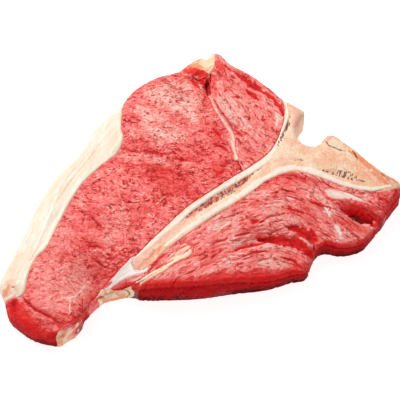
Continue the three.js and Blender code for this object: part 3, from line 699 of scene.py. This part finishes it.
def carve_meat(piece, grain, stretch, strokes, whites, others, fold_depth):
    """Muscle: bundles of fibres, long folds along them, then its own furrows and cracks."""
    work = Carving(piece, MEAT_MASKS)
    points = work.points.copy()
    places = grain(work.drawn[:, :2]) / [stretch, 1] + BUNDLE_WARP * sway(points, 7, 21, 31)
    inside = ease(bundles(places, BUNDLE_WIDTH, 3), 0.0, 0.45)
    shown = ease(noise(points, 9, 41), -0.5, 0.5)
    furrow = (1 - inside) * (0.35 + 0.65 * shown)
    work.masks["bundle"] = 1 - furrow
    work.meet(whites, reach=1.0)
    swell = 0.30 * rough_noise(points, 11, 2, 51) + 0.16 * noise(points, 4, 61)
    along, across = places.T
    long_places = np.column_stack([along / 1.7, across, points[:, 2] / 3])
    waves = noise(long_places, FOLD_SPACING, 65) + 0.35 * noise(long_places, BUNDLE_WIDTH, 66)
    work.masks["fold"] = (1 - ease(np.abs(waves), 0, 0.20)) * ease(noise(points, 13, 67), -0.45, 0.35)
    swell -= FURROW_DEPTH * furrow + fold_depth * work.masks["fold"]
    swell += 0.10 * rough_noise(points, 1.5, 1, 71) + SEAM_LIFT * work.masks["seam"]
    work.shape(swell, others, strokes, sideways=0.25)
    work.keep_grain(places)
    work.finish()


def carve_fat(piece, grain, strokes, meats, others):
    """Fat: long soft lobes along its grain."""
    work = Carving(piece, FAT_MASKS, paint_walls=True)
    places = grain(work.drawn[:, :2])
    long_points = np.column_stack([places / [4, 1], work.points[:, 2] / 2])
    work.meet(meats, reach=1.5)
    lobes = LOBE_HEIGHT * rough_noise(long_points, 4, 3, 81) + 0.3 * noise(work.points, 14, 91)
    work.shape(lobes + SEAM_LIFT * work.masks["seam"], others, strokes, sideways=0.25)
    work.keep_grain(places)
    work.finish()


def carve_bone(piece, strokes, meats, others):
    """Sawn bone: nearly flat, with a fine spongy grain and a smooth hard rim."""
    work = Carving(piece, BONE_MASKS, paint_walls=True)
    work.meet(meats, reach=0.7)
    sponge = 0.10 * rough_noise(work.points, 3, 2, 101) + 0.05 * rough_noise(work.points, 1.3, 1, 111)
    work.shape(sponge, others, strokes, sideways=0.2)
    work.finish()


# ---- Shader values -------------------------------------------------------------------------------


class Value:
    """A number or colour inside a material, which sums and products can use like a number."""

    def __init__(self, finish, output):
        self.finish = finish
        self.output = output

    def __add__(self, other):
        return self.finish.math("ADD", self, other)

    def __sub__(self, other):
        return self.finish.math("SUBTRACT", self, other)

    def __rsub__(self, other):
        return self.finish.math("SUBTRACT", other, self)

    def __mul__(self, other):
        return self.finish.math("MULTIPLY", self, other)

    __radd__ = __add__
    __rmul__ = __mul__


def set_stops(ramp, stops):
    """Gives a ramp these stops, each a place and a colour."""
    ramp.elements.remove(ramp.elements[1])
    ramp.elements[0].position = stops[0][0]
    ramp.elements[0].color = (*stops[0][1], 1)
    for place, colour in stops[1:]:
        ramp.elements.new(place).color = (*colour, 1)


class Finish:
    """A material while it is made: a Principled surface over places in millimetres."""

    def __init__(self, name, **constants):
        self.material = bpy.data.materials.new(name)
        self.material.use_nodes = True
        self.tree = self.material.node_tree
        self.shader = self.tree.nodes["Principled BSDF"]
        for socket, value in constants.items():
            self.shader.inputs[socket.replace("_", " ")].default_value = value
        place = self.node("ShaderNodeTexCoord", out="Object")
        self.place = self.node(
            "ShaderNodeVectorMath", {"operation": "SCALE"}, {0: place, "Scale": 1 / MM}
        )
        self.fibres = self.node("ShaderNodeAttribute", {"attribute_name": "grain"}, out="Vector")

    def node(self, kind, settings=None, sockets=None, out=0):
        """Adds a node: its settings first, then the values or links of its sockets."""
        made = self.tree.nodes.new(kind)
        for name, value in (settings or {}).items():
            if name == "stops":
                set_stops(made.color_ramp, value)
            else:
                setattr(made, name, value)
        for name, value in (sockets or {}).items():
            self.plug(value, made.inputs[name])
        return Value(self, made.outputs[out])

    def plug(self, value, socket):
        if isinstance(value, Value):
            self.tree.links.new(value.output, socket)
        else:
            socket.default_value = value

    def math(self, operation, first, second):
        return self.node("ShaderNodeMath", {"operation": operation}, {0: first, 1: second})

    def mask(self, name):
        return self.node("ShaderNodeAttribute", {"attribute_name": name}, out="Fac")

    def mix(self, share, first, second):
        """A colour between two colours, which are inputs 6 and 7 of the node."""
        first, second = (c if isinstance(c, Value) else (*c, 1) for c in (first, second))
        sockets = {0: share, 6: first, 7: second}
        return self.node("ShaderNodeMix", {"data_type": "RGBA"}, sockets, out=2)

    def ease(self, value, low, high):
        """0 below low, 1 above high and smooth between."""
        settings = {"interpolation_type": "SMOOTHSTEP"}
        return self.node("ShaderNodeMapRange", settings, {0: value, 1: low, 2: high})

    def lay(self, colour, paint, value, low, high, share=1):
        """Lays paint over a colour: none where the value is low, and this share where it is high."""
        return self.mix(self.ease(value, low, high) * share, colour, paint)

    def scaled(self, where, size, stretch, shift):
        factors = tuple(1 / (size * s) for s in stretch)
        sockets = {"Vector": where, "Scale": factors, "Location": (shift,) * 3}
        return self.node("ShaderNodeMapping", None, sockets)

    def noise(self, size, detail=2, roughness=0.5, stretch=(1, 1, 1), shift=0, where=None, out=0):
        """Noise from 0 to 1 with features about as wide as size, in millimetres."""
        place = self.scaled(where or self.place, size, stretch, shift)
        sockets = {"Vector": place, "Scale": 1, "Detail": detail, "Roughness": roughness}
        return self.node("ShaderNodeTexNoise", None, sockets, out)

    def cracks(self, size, width, shift, where):
        """1 along the crooked lines of a cracked pavement, and 0 away from them."""
        sway = self.noise(size * 0.8, 2, 0.6, shift=shift, where=where, out="Color")
        bent = self.node(
            "ShaderNodeVectorMath", {"operation": "MULTIPLY_ADD"}, {0: sway, 1: (size,) * 3, 2: where}
        )
        place = self.scaled(bent, size, (1, 1, 1), shift)
        settings = {"feature": "DISTANCE_TO_EDGE"}
        edge = self.node("ShaderNodeTexVoronoi", settings, {"Vector": place, "Scale": 1})
        return 1 - self.ease(edge, 0.0, width)

    def wrinkles(self, size, width, shift, where):
        """Long wavy lines of painted shade, and a painted highlight along one side of each."""
        height = self.noise(size, 2, 0.55, shift=shift, where=where) - 0.5
        line = 1 - self.ease(self.math("ABSOLUTE", height, 0), 0.0, width)
        # the painted highlight beside each line
        edge = self.ease(height, 0.6 * width, 1.4 * width) * (1 - self.ease(height, 1.6 * width, 4 * width))
        return line, edge

    def ramp(self, value, stops):
        """The colour at a place on a ramp from 0 to 1."""
        return self.node("ShaderNodeValToRGB", {"stops": stops}, {"Fac": value})

    def bump(self, height, distance, strength):
        sockets = {"Height": height, "Distance": distance * MM, "Strength": strength}
        return self.node("ShaderNodeBump", None, sockets)

    def surface(self, **sockets):
        for name, value in sockets.items():
            self.plug(value, self.shader.inputs[name.replace("_", " ")])
        return self.material


# ---- Finishes ------------------------------------------------------------------------------------


def meat_finish(name, level, milk, line_size, wall_shade, wall_deep_shade):
    """Moist raw muscle: one scale of reds that mottling, furrows and fat move up and down, with painted
    shade in furrows, folds and clefts and on the walls, and painted highlights beside crease lines.
    """
    f = Finish(
        name, Subsurface_Weight=0.08, Subsurface_Radius=(1.0, 0.25, 0.15), Subsurface_Scale=0.8 * MM,
        Specular_IOR_Level=0.06, Coat_Roughness=0.3, Coat_IOR=1.33,
    )
    broad = f.noise(20)
    tint = f.noise(12, shift=31)
    patch = f.noise(4.6, 2, 0.6, shift=17, where=f.fibres)
    mottle = f.noise(2.2, 3, 0.65, shift=3, where=f.fibres)
    fine = f.noise(0.95, 2, 0.6, shift=7, where=f.fibres)
    thick = f.ease(f.noise(3.0, 2, 0.6, shift=23, where=f.fibres), 0.46, 0.70)
    thin = f.ease(f.noise(2.2, 2, 0.6, shift=29, where=f.fibres), 0.48, 0.72)
    lines = f.cracks(line_size, 0.005 + 0.24 * thick, 5, f.fibres)
    threads = f.cracks(line_size * 0.5, 0.005 + 0.30 * thin, 11, f.fibres)
    shaded_creases, highlight_ridges = f.wrinkles(line_size * 1.5, 0.006 + 0.075 * thin, 37, f.fibres)
    shaded_hairlines, highlight_crests = f.wrinkles(line_size * 0.75, 0.008 + 0.10 * thick, 41, f.fibres)
    flecks = f.noise(0.8, 2, 0.6, shift=43)
    pale_part = f.mask("pale")
    rich_part = f.mask("rich")
    seam = f.mask("seam")
    wall = f.mask("wall")
    front = f.mask("front")

    # the place on the scale of reds
    swing = 0.8 * (mottle - 0.5) + 0.8 * (patch - 0.5) + 0.7 * (fine - 0.5)
    # the bundle borders are darker: painted shade in the furrows between bundles
    swing = swing - 0.18 * lines - 0.12 * threads - 0.14 * (1 - f.mask("bundle"))
    # painted shade in the crease lines and painted highlights along one side of them
    swing = swing - 0.32 * shaded_creases - 0.28 * shaded_hairlines + 0.20 * highlight_ridges + 0.16 * highlight_crests
    tone = level + swing * (1 - 0.45 * f.mask("calm") + 0.35 * pale_part) + 0.5 * (broad - 0.5)
    tone = tone + 0.20 * pale_part - 0.18 * rich_part
    # painted shade in the folds and in the furrow strokes; blood is darker by its own colour
    tone = tone - 0.26 * f.mask("fold") * f.ease(mottle, 0.30, 0.55)
    tone = tone - 0.30 * f.mask("blood") - 0.25 * f.mask("furrow")
    colour = f.ramp(tone, MEAT_TONES)

    # tints, flecks, fat and blood, and painted shade in furrows, along the joins and in clefts
    colour = f.lay(colour, ROSE, tint, 0.48, 0.66, 0.14)
    colour = f.lay(colour, MILK_PINK, tone, 0.15, 0.50, milk + 0.26 * pale_part)
    colour = f.lay(colour, RICH_RED, patch + mottle, 0.80, 1.10, 0.7 * rich_part)
    colour = f.lay(colour, CREAM, fine, 0.42, 0.62, 0.5 * pale_part)
    colour = f.lay(colour, TAN, flecks, 0.48, 0.68, milk + 0.32 * pale_part)
    raw_tone = f.lay(RAW_RED, BLOOD_BRIGHT, patch, 0.44, 0.64)
    colour = f.lay(colour, raw_tone, f.mask("raw") + 0.5 * (mottle - 0.5), 0.15, 0.75, 0.72)
    # painted shade along the joins with fat and bone
    colour = f.lay(colour, FURROW_SHADE_RED, fine, 0.42, 0.60, 0.4 * seam)
    colour = f.lay(colour, CREAM, mottle + fine, 0.98, 1.16, 0.8 * seam)
    cream = f.mask("cream") + 1.3 * (fine - 0.5) + 0.6 * (mottle - 0.5)
    colour = f.lay(colour, CREAM, cream, 0.25, 0.85, 0.75)
    # painted shade in the furrows
    furrow = f.ease(f.mask("furrow") + 0.6 * (fine - 0.5), 0.25, 0.80)
    colour = f.mix(furrow * 0.85, colour, FURROW_SHADE_RED)
    blood = f.mask("blood") + 0.6 * (mottle - 0.5) + 0.3 * (fine - 0.5)
    blood_tone = f.lay(BLOOD_DEEP, BLOOD_BRIGHT, patch + 0.5 * mottle, 0.58, 0.76)
    colour = f.lay(colour, blood_tone, blood, 0.28, 0.75, 0.92)
    white = f.mask("white") + 2.0 * (fine - 0.5) + 1.2 * (mottle - 0.5)
    colour = f.lay(colour, WHITE_SPOT, white, 0.40, 0.95, 0.95)
    # painted shade in clefts, pockets and notches
    colour = f.lay(colour, CRACK_SHADE, f.mask("dark") + 0.3 * (fine - 0.5), 0.20, 0.75)

    # painted shade: on slopes turned away from the lamp, on the rounded front edges, and on the walls,
    # darker towards the bottom
    # painted shade: slopes turned away from the lamp are laid over with a deep red
    colour = f.lay(colour, BLOOD_BRIGHT, mottle + 0.5 * fine, 0.60, 0.85, 0.7 * f.mask("slope"))
    # painted shade on the rounded edges between the top and the walls, strongest where they face the camera
    edge = f.ease(f.mask("edge") + 0.5 * (mottle - 0.5), 0.15, 0.70)
    colour = f.mix(edge * (0.35 + 0.55 * front), colour, RIM_SHADE_RED)
    # painted shade on the walls: deeper towards the bottom, and strongest on walls turned away from the
    # lamp
    depth = f.ease(f.mask("low") + 1.4 * (patch - 0.5) + 0.7 * (mottle - 0.5), 0.20, 0.80)
    shaded_wall_tone = f.mix(depth, wall_shade, wall_deep_shade)
    shaded_wall_tone = f.lay(shaded_wall_tone, RICH_RED, fine + mottle, 1.04, 1.22, 0.35)
    shaded_wall_tone = f.lay(shaded_wall_tone, ROSE, broad + fine, 0.95, 1.2, 0.35 * depth)
    colour = f.lay(colour, shaded_wall_tone, wall, 0.35, 0.90, 0.45 + 0.55 * front)

    dents = 0.5 * lines + 0.3 * threads + shaded_creases + 0.7 * shaded_hairlines + f.mask("dark") + 0.5 * furrow
    return f.surface(
        Base_Color=colour, Roughness=0.45 + 0.2 * fine + 0.25 * wall, Coat_Weight=0.3 * (1 - edge),
        Normal=f.bump(fine + 0.8 * mottle - 0.8 * dents, 0.50, 0.7),
    )


def fat_finish(name, main, warm, blush, grown_share):
    """Waxy fat with long streaks, turning the colour of its neighbour where they have grown together."""
    f = Finish(
        name, Subsurface_Weight=0.2, Subsurface_Radius=(1.0, 0.7, 0.4), Subsurface_Scale=1.2 * MM,
        Specular_IOR_Level=0.25, Coat_Roughness=0.3,
    )
    broad = f.noise(14, stretch=(2, 1, 1), where=f.fibres)
    streak = f.noise(2.0, 3, 0.6, (5, 1, 1), 3, f.fibres)
    fine = f.noise(1.3, 3, 0.65, (1.5, 1, 1), 9, f.fibres)
    spots = f.noise(0.8, 2, 0.6, shift=19)
    colour = f.lay(main, warm, broad, 0.38, 0.66)
    colour = f.lay(colour, WHITE_FAT, streak, 0.48, 0.66, 0.6)
    colour = f.lay(colour, blush, 1 - streak, 0.52, 0.68, 0.35)
    colour = f.lay(colour, blush, spots, 0.60, 0.72, 0.35)
    colour = f.lay(colour, blush, f.mask("speckle") + 1.2 * (fine - 0.5), 0.35, 0.80, 0.6)
    orange = f.mask("orange") + 0.9 * (fine - 0.5) + 0.5 * (broad - 0.5)
    colour = f.lay(colour, ORANGE_FAT, orange, 0.10, 1.00, 0.9)
    colour = f.lay(colour, FAT_LINE, fine, 0.35, 0.55, f.mask("line"))
    grown = f.mask("seam") + 1.6 * (fine - 0.5) + 0.8 * (streak - 0.5)
    colour = f.lay(colour, blush, grown, 0.35, 0.95, grown_share)
    meat_tone = f.ramp(0.40 + 1.2 * (fine - 0.5) + (streak - 0.5), MEAT_TONES)
    colour = f.lay(colour, meat_tone, f.mask("meaty") + 0.9 * (fine - 0.5), 0.15, 0.80)
    colour = f.lay(colour, WHITE_FAT, f.mask("rim") + 0.8 * (fine - 0.5), 0.25, 0.85, 0.85)
    # painted shade on the walls of the raw parts: darker on sides turned away from the lamp and towards the
    # bottom
    depth = f.ease(f.mask("low") + 0.8 * (streak - 0.5), 0.20, 0.80)
    shaded_wall_tone = f.mix(depth, FRONT_SHADE_RED, FRONT_DEEP_SHADE)
    raw_tone = f.lay(RAW_RED, BLOOD_BRIGHT, fine, 0.45, 0.65)
    raw_tone = f.lay(raw_tone, shaded_wall_tone, f.mask("wall"), 0.35, 0.90, 0.45 + 0.55 * f.mask("front"))
    colour = f.lay(colour, raw_tone, f.mask("raw") + 0.7 * (fine - 0.5), 0.25, 0.65)
    colour = f.lay(colour, BROWN, f.mask("brown") + 0.5 * (fine - 0.5), 0.20, 0.80, 0.9)
    return f.surface(
        Base_Color=colour, Roughness=0.42 + 0.2 * fine, Coat_Weight=0.10 + 0.15 * fine,
        Normal=f.bump(fine + 0.7 * streak, 0.3, 0.6),
    )


def bone_finish(name):
    """Sawn bone: a white rim round a tan sponge with pits, pores and marrow."""
    f = Finish(
        name, Subsurface_Weight=0.12, Subsurface_Radius=(1.0, 0.7, 0.5), Subsurface_Scale=0.8 * MM,
        Specular_IOR_Level=0.2, Coat_Roughness=0.3,
    )
    broad = f.noise(11, 3, 0.55)
    sponge = f.noise(1.1, 3, 0.7)
    pits = f.noise(1.5, shift=5)
    teeth = f.noise(1.3, 1, 0.5, (0.8, 2.6, 1), 9)
    blotch = f.noise(3.5, 3, 0.6, shift=29)
    scratch = f.noise(1.0, 3, 0.7, (0.6, 5, 1), 13)
    colour = f.lay(BONE_CREAM, BONE_TAN, broad, 0.38, 0.62)
    colour = f.lay(colour, BONE_SHADE, sponge, 0.50, 0.68, 0.55)
    colour = f.lay(colour, BONE_RIM, 1 - sponge, 0.54, 0.70, 0.4)
    colour = f.lay(colour, BONE_SHADE, scratch, 0.54, 0.70, 0.3)
    orange = f.mask("orange") + 0.9 * (sponge - 0.5) + 0.8 * (scratch - 0.5)
    colour = f.lay(colour, BONE_ORANGE, orange, 0.12, 0.80, 0.9)
    colour = f.lay(colour, BONE_PINK, f.mask("pink") + 0.9 * (pits - 0.5), 0.20, 0.85, 0.9)
    colour = f.lay(colour, MARROW, f.mask("marrow") + 0.9 * (pits - 0.5), 0.30, 0.80, 0.9)
    rim = f.ease(f.mask("rim") + 0.9 * (pits - 0.5) + 0.3 * (sponge - 0.5), 0.25, 0.75)
    colour = f.mix(rim * 0.92, colour, BONE_RIM)
    colour = f.lay(colour, BONE_CREAM, sponge, 0.50, 0.68, 0.4 * rim)
    colour = f.lay(colour, PEARL_PINK, blotch, 0.52, 0.68, 0.45 * rim)
    pore = f.ease(f.mask("pore") * f.ease(teeth, 0.42, 0.58), 0.30, 0.65)
    colour = f.mix(pore * 0.85, colour, PORE_BROWN)
    colour = f.lay(colour, BONE_PINK, f.mask("seam") + (pits - 0.5), 0.45, 0.95, 0.6)
    meat_tone = f.ramp(0.35 + 1.2 * (blotch - 0.5) + 0.6 * (pits - 0.5), MEAT_TONES)
    colour = f.lay(colour, meat_tone, f.mask("meaty") + 0.6 * (pits - 0.5), 0.30, 0.70)
    colour = f.lay(colour, BROWN, f.mask("brown") + 0.6 * (pits - 0.5), 0.25, 0.85, 0.85)
    return f.surface(
        Base_Color=colour, Roughness=0.5 + 0.2 * sponge, Coat_Weight=0.08 + 0.08 * broad,
        Normal=f.bump(sponge - 0.6 * pore, 0.3, 0.7),
    )


strip_meat = meat_finish(
    "strip_loin_meat", level=0.53, milk=0.04, line_size=4.2, wall_shade=SIDE_SHADE_RED, wall_deep_shade=SIDE_DEEP_SHADE
)
spine_meat = meat_finish(
    "spine_meat", level=0.66, milk=0.14, line_size=3.6, wall_shade=SIDE_SHADE_RED, wall_deep_shade=SIDE_DEEP_SHADE
)
tender_meat = meat_finish(
    "tenderloin_meat", level=0.67, milk=0.06, line_size=3.6, wall_shade=FRONT_SHADE_RED, wall_deep_shade=FRONT_DEEP_SHADE
)
white_fat = fat_finish("cap_fat", FAT_CREAM, FAT_WARM, blush=PEACH_FAT, grown_share=0.5)
inner_fat = fat_finish("inner_fat", PINK_CREAM, FAT_WARM, blush=PINK_FAT, grown_share=0.85)
yellow_fat = fat_finish("yellow_fat", YELLOW_CREAM, YELLOW_FAT, blush=WARM_BLUSH, grown_share=0.7)
cartilage = fat_finish("cartilage", PEARL, WHITE_FAT, blush=PEARL_PINK, grown_share=0.85)
sawn_bone = bone_finish("sawn_bone")

# ---- The pieces ----------------------------------------------------------------------------------

TENDERLOIN_ARCH = crested(crest=44, left=0.006, right=0.021, bend=16)
MUSCLES = [
    # node, slot, finish, grain, how much longer than wide the bundles are, strokes, fold depth
    ("strip_loin", "meat", strip_meat, straight(-8), 1.5, STRIP_LOIN_STROKES, 0.30),
    ("tenderloin", "meat", tender_meat, TENDERLOIN_ARCH, 2.4, TENDERLOIN_STROKES, 0.75),
    ("spine_muscle", "meat", spine_meat, straight(-52), 2.2, SPINE_STROKES, 0.35),
    ("side_muscle", "pale_meat", tender_meat, straight(-25), 1.6, SIDE_STROKES, 0.30),
    ("chain_muscle", "pale_meat", tender_meat, straight(40), 2.5, CHAIN_STROKES, 0.20),
]
FATS = [
    # node, slot, finish, grain, strokes
    ("fat_cap", "fat", white_fat, straight(62), FAT_CAP_STROKES),
    ("side_fat", "fat", inner_fat, straight(-22), SIDE_FAT_STROKES),
    ("seam_fat", "fat", inner_fat, straight(-60), SEAM_FAT_STROKES),
    ("crown_fat", "yellow_fat", yellow_fat, straight(20), CROWN_STROKES),
    ("tail_fat", "yellow_fat", yellow_fat, straight(45), TAIL_FAT_STROKES),
    ("chain_fat", "yellow_fat", yellow_fat, straight(35), BRIDGE_STROKES),
    ("tip_cartilage", "gristle", cartilage, straight(50), CARTILAGE_STROKES),
]
LARGE_SKINS = {
    "strip_loin": BROAD_SKIN, "tenderloin": THICK_SKIN, "spine_muscle": THICK_SKIN,
    "fat_cap": THICK_SKIN, "t_bone": THICK_SKIN,
}
ALL_NODES = [tissue[0] for tissue in MUSCLES + FATS] + ["t_bone"]


def skin(node):
    return make_skin(node, *LARGE_SKINS.get(node, THIN_SKIN))


def neighbours_of(node):
    return surfaces_of([other for other in ALL_NODES if other != node])


def dress(piece, node, material):
    piece.data.materials.clear()
    piece.data.materials.append(material)
    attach(piece, "root")
    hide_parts(node)


meats = surfaces_of([muscle[0] for muscle in MUSCLES])
whites = surfaces_of([fat[0] for fat in FATS] + ["t_bone"])
for node, slot, material, grain, stretch, strokes, fold_depth in MUSCLES:
    piece = skin(node)
    carve_meat(piece, grain, stretch, strokes, whites, neighbours_of(node), fold_depth)
    dress(piece, node, material)
for node, slot, material, grain, strokes in FATS:
    piece = skin(node)
    carve_fat(piece, grain, strokes, meats, neighbours_of(node))
    dress(piece, node, material)
bone = skin("t_bone")
carve_bone(bone, BONE_STROKES, meats, neighbours_of("t_bone"))
dress(bone, "t_bone", sawn_bone)

# ---- Table, light and camera ---------------------------------------------------------------------

TABLE_SIZE = 6.0
TABLE_GREY = (0.35, 0.35, 0.35, 1)
TABLE_GLOW = 0.85
WHITE = (1, 1, 1, 1)
WORLD_LIGHT = 0.5
LAMP_PLACE = (-0.45, 0.5, 0.9)
LAMP_SIZE = 0.35
LAMP_POWER = 10
LOOK_AT = (-0.00325, -0.00955, 0.011)
VIEW_DISTANCE = 0.7
VIEW_HEIGHT_DEG = 55
SCALE_PX_PER_M = 1650
IMAGE_PX = 400
SENSOR_MM = 36
CLIP_START = 0.01


def make_table():
    """A white table that glows a little, so that it is white in the shade as well."""
    bpy.ops.object.select_all(action="DESELECT")
    bpy.ops.mesh.primitive_plane_add(size=TABLE_SIZE)
    table = bpy.context.object
    table.name = "white_table"
    f = Finish(
        "white_table", Base_Color=TABLE_GREY, Roughness=1.0, Specular_IOR_Level=0.0,
        Emission_Color=WHITE, Emission_Strength=TABLE_GLOW,
    )
    table.data.materials.append(f.material)


def make_world():
    world = bpy.data.worlds.new("studio")
    world.use_nodes = True
    background = world.node_tree.nodes["Background"]
    background.inputs["Color"].default_value = WHITE
    background.inputs["Strength"].default_value = WORLD_LIGHT
    bpy.context.scene.world = world


def make_lamp():
    """One soft lamp behind the steak, aimed at its middle."""
    light = bpy.data.lights.new("key_light", "AREA")
    light.shape = "DISK"
    light.size = LAMP_SIZE
    light.energy = LAMP_POWER
    lamp = bpy.data.objects.new("key_light", light)
    bpy.context.scene.collection.objects.link(lamp)
    lamp.location = LAMP_PLACE
    lamp.rotation_euler = (-Vector(LAMP_PLACE)).to_track_quat("-Z", "Y").to_euler()


def make_camera():
    """A camera in front of the steak and above it, with the scale set at the point it looks at."""
    elevation = math.radians(VIEW_HEIGHT_DEG)
    camera = bpy.data.cameras.new("camera")
    camera.sensor_width = SENSOR_MM
    camera.lens = SENSOR_MM * VIEW_DISTANCE * SCALE_PX_PER_M / IMAGE_PX
    camera.clip_start = CLIP_START
    viewer = bpy.data.objects.new("camera", camera)
    bpy.context.scene.collection.objects.link(viewer)
    x, y, z = LOOK_AT
    viewer.location = (
        x, y - VIEW_DISTANCE * math.cos(elevation), z + VIEW_DISTANCE * math.sin(elevation)
    )
    viewer.rotation_euler = (math.pi / 2 - elevation, 0, 0)
    bpy.context.scene.camera = viewer


make_table()
make_world()
make_lamp()
make_camera()
bpy.context.scene.view_settings.view_transform = "Standard"
